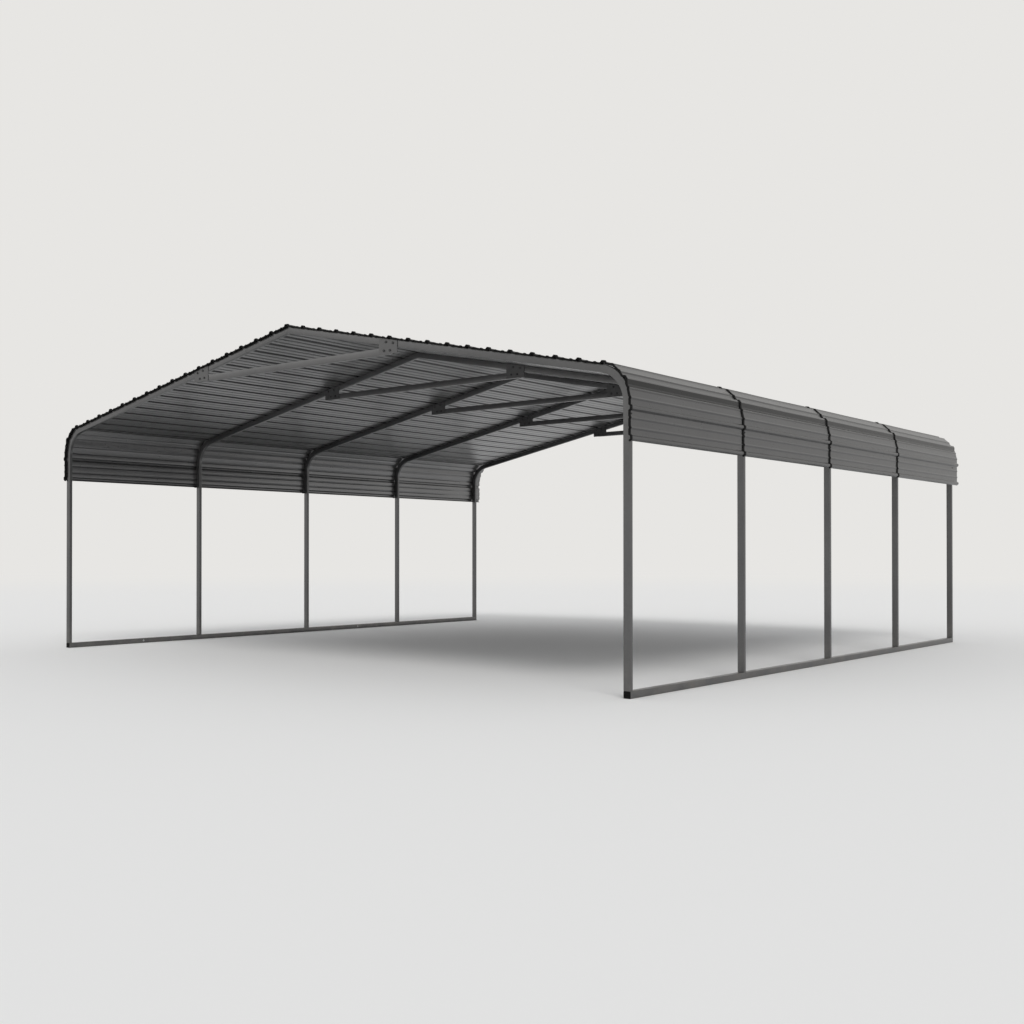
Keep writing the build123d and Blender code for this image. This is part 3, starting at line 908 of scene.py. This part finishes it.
def jointScrews(front):
    # on the frame's back: along the rafter past its joint with the ridge tube, half the tube's
    # depth under the arch's line, and up the middle of the leg from its joint with the post
    line, normals = archLine(tubes["spliceReach"] + np.array(screws["pastSplice"]))
    high = line - normals * arch["depth"] / 2
    legMiddle = arch["halfWidth"] - arch["depth"] / 2
    low = np.array([[legMiddle, arch["postTop"] + up] for up in screws["overPost"]])
    places = bothSides(np.insert(np.vstack([high, low]), 1, front + arch["breadth"], axis=1))
    axes = np.tile([0, 1.0, 0], (len(places), 1))
    return fastenerSet(headRows(**fasteners["screw"]), places, axes, spin=0.9)


print("building screws")
for index in range(arch["frames"]):
    buildPiece(f"sheet_screws_{index + 1}", [sheetScrews(index)], frameSteel,
               merge=True)
    buildPiece(f"joint_screws_{index + 1}", [jointScrews(frontOf(index))], boltSteel,
               merge=True)


# bolts in the rails' inner faces
railing = {"boltsAlong": (0.83, 3.85), "boltHeight": 0.024}


def railBolts():
    # two a side: distance along from the front end, at one height
    inner = arch["halfWidth"] - arch["depth"]
    right = np.array([(inner, frontOf(0) + y, railing["boltHeight"]) for y in railing["boltsAlong"]])
    axes = np.array([[-1.0, 0, 0]] * 2 + [[1.0, 0, 0]] * 2)
    return fastenerSet(headRows(**fasteners["railBolt"]), bothSides(right), axes)


buildPiece("rail_bolts", [railBolts()], zincSteel, merge=True)


# plugs in the rails' ends
plugs = {
    "corner": 0.005, "edge": 0.0009, "dome": 0.0006, "domeInset": 0.004, "faceInset": 0.012,
    "gap": 0.0001, "grooveDepth": 0.0022, "fins": ((arch["plugFlange"], 0.006), (0.011, 0.0145)),
    "grooves": ((0.0065, 0.01), (0.015, 0.02)),
}


def railPlug(side, back):
    # rows of (inset, distance into the rail): face, rim, fins and grooves, and the inner end
    wall, edge = arch["wall"] + plugs["gap"], plugs["edge"]
    rows = [(plugs["faceInset"], 0), (plugs["domeInset"], plugs["dome"] / 2),
            (edge, plugs["dome"]), (0, 2 * edge), (0, arch["plugFlange"])]
    for fin, groove in zip(plugs["fins"], plugs["grooves"]):
        rows += [(wall, reach) for reach in fin]
        rows += [(wall + plugs["grooveDepth"], reach) for reach in groove]
    rings = [roundedRectangle(arch["depth"], arch["railHeight"], plugs["corner"], inset)
             for inset, _ in rows]
    middle = np.broadcast_to([arch["depth"] / 2, arch["railHeight"] / 2], rings[0].shape)
    rings = [middle] + rings + [middle]
    into = np.array([0] + [reach for _, reach in rows] + [rows[-1][1]])
    section = np.stack(rings)
    y = np.broadcast_to(into[:, None], section.shape[:2]) + frontOf(0)
    if back:
        y = 2 * frontOf(0) + arch["length"] - y
    grid = np.stack([side * (arch["halfWidth"] - section[..., 0]), y, section[..., 1]], -1)
    return outward(grid.reshape(-1, 3), gridFaces(*grid.shape[:2], closeColumns=True))


everyPlug = [railPlug(side, back) for side in (1, -1) for back in (False, True)]
buildPiece("rail_end_plugs", everyPlug, plugPlastic, ["rail_plugs"], merge=True)


# studio
studio = {
    "floorTone": (0.86, 0.85, 0.83, 1), "backTone": (0.8, 0.79, 0.77, 1),
    "bounceTone": (0.6, 0.59, 0.58, 1), "skyTone": (0.95, 0.97, 1.0, 1), "skyStrength": 0.64,
    "floorRadius": 120.0, "floorRings": 24, "floorSpokes": 64, "floorDrop": 0.0005,
    "floorRoughness": 0.85, "floorSpecular": 0.2, "fadeFrom": 7.0, "fadeTo": 40.0,
}
lamps = {
    "keyLamp": {"direction": (0.5, -0.45, 0.74), "softness": 25, "strength": 1.0},
    "fillLamp": {"direction": (-0.7, -0.5, 0.5), "softness": 40, "strength": 0.25},
}
# place in metres, angles in degrees, and the photo's focal length and centre in its own pixels
cameraSet = {
    "place": (6.845, -9.359, 0.881), "turn": 40.47, "tilt": 0.417, "sensor": 36.0, "reach": 300.0,
    "picture": 1024, "focal": 1193, "centre": (436.6, 544.8),
}


def seenDirectly(tree):
    # 1 where the camera or a reflection looks at the surface, 0 for the light that it scatters
    path = addNode(tree, "ShaderNodeLightPath").outputs
    shown = math2(tree, "MAXIMUM", path["Is Camera Ray"], path["Is Glossy Ray"])
    return math2(tree, "MAXIMUM", shown, path["Is Transmission Ray"])


def buildFloor():
    # disc: rings of growing radius about the middle
    ring = np.concatenate([[0.0], np.geomspace(1, studio["floorRadius"], studio["floorRings"])])
    angle = np.linspace(0, 2 * math.pi, studio["floorSpokes"], endpoint=False)
    x, y = ring[:, None] * np.cos(angle), ring[:, None] * np.sin(angle)
    grid = np.stack([x, y, np.full(x.shape, -studio["floorDrop"])], -1)
    faces = gridFaces(*x.shape, closeColumns=True)[:, ::-1]
    mesh = bpy.data.meshes.new("floor")
    mesh.from_pydata(grid.reshape(-1, 3).tolist(), [], faces.tolist())
    mesh.update()
    floor = bpy.data.objects.new("floor", mesh)
    bpy.context.scene.collection.objects.link(floor)
    material = bpy.data.materials.new("floorPaint")
    material.use_nodes = True
    tree = material.node_tree
    shader = tree.nodes["Principled BSDF"]
    shader.inputs["Roughness"].default_value = studio["floorRoughness"]
    shader.inputs["Specular IOR Level"].default_value = studio["floorSpecular"]
    shown = seenDirectly(tree)
    floorTone = blendColour(tree, shown, studio["bounceTone"], studio["floorTone"])
    tree.links.new(floorTone, shader.inputs["Base Color"])
    place = addNode(tree, "ShaderNodeTexCoord").outputs["Object"]
    far = addNode(tree, "ShaderNodeVectorMath", {0: place}, operation="LENGTH").outputs["Value"]
    fade = remap(tree, far, studio["fadeFrom"], studio["fadeTo"], smooth=True)
    glowTone = blendColour(tree, shown, studio["bounceTone"], studio["backTone"])
    glow = addNode(tree, "ShaderNodeEmission", {"Color": glowTone, "Strength": 1.0})
    mix = addNode(tree, "ShaderNodeMixShader", {0: fade, 1: shader.outputs[0], 2: glow.outputs[0]})
    tree.links.new(mix.outputs[0], tree.nodes["Material Output"].inputs["Surface"])
    mesh.materials.append(material)


def buildWorld():
    world = bpy.data.worlds.new("studioLight")
    bpy.context.scene.world = world
    world.use_nodes = True
    tree = world.node_tree
    light = tree.nodes["Background"]
    light.inputs["Color"].default_value = studio["skyTone"]
    light.inputs["Strength"].default_value = studio["skyStrength"]
    seen = addNode(tree, "ShaderNodeBackground", {"Color": studio["backTone"], "Strength": 1.0})
    mix = addNode(tree, "ShaderNodeMixShader",
                  {0: seenDirectly(tree), 1: light.outputs[0], 2: seen.outputs[0]})
    tree.links.new(mix.outputs[0], tree.nodes["World Output"].inputs["Surface"])


def buildLamp(name, direction, softness, strength):
    # broad, far lamp: the same light everywhere, from a soft disc of the sky
    lamp = bpy.data.lights.new(name, "SUN")
    lamp.energy, lamp.angle = strength, math.radians(softness)
    holder = bpy.data.objects.new(name, lamp)
    holder.rotation_euler = Vector(direction).to_track_quat("Z", "Y").to_euler()
    bpy.context.scene.collection.objects.link(holder)


print("building studio")
buildFloor()
buildWorld()
for name, values in lamps.items():
    buildLamp(name, **values)

lens = bpy.data.cameras.new("photoCamera")
picture, (centreX, centreY) = cameraSet["picture"], cameraSet["centre"]
lens.sensor_width = cameraSet["sensor"]
lens.lens = cameraSet["focal"] / picture * cameraSet["sensor"]
lens.shift_x, lens.shift_y = (picture / 2 - centreX) / picture, (centreY - picture / 2) / picture
lens.clip_end = cameraSet["reach"]
camera = bpy.data.objects.new("photoCamera", lens)
camera.location = cameraSet["place"]
camera.rotation_euler = (math.radians(90 + cameraSet["tilt"]), 0, math.radians(cameraSet["turn"]))
bpy.context.scene.collection.objects.link(camera)
bpy.context.scene.camera = camera
bpy.context.scene.view_settings.view_transform = "Standard"
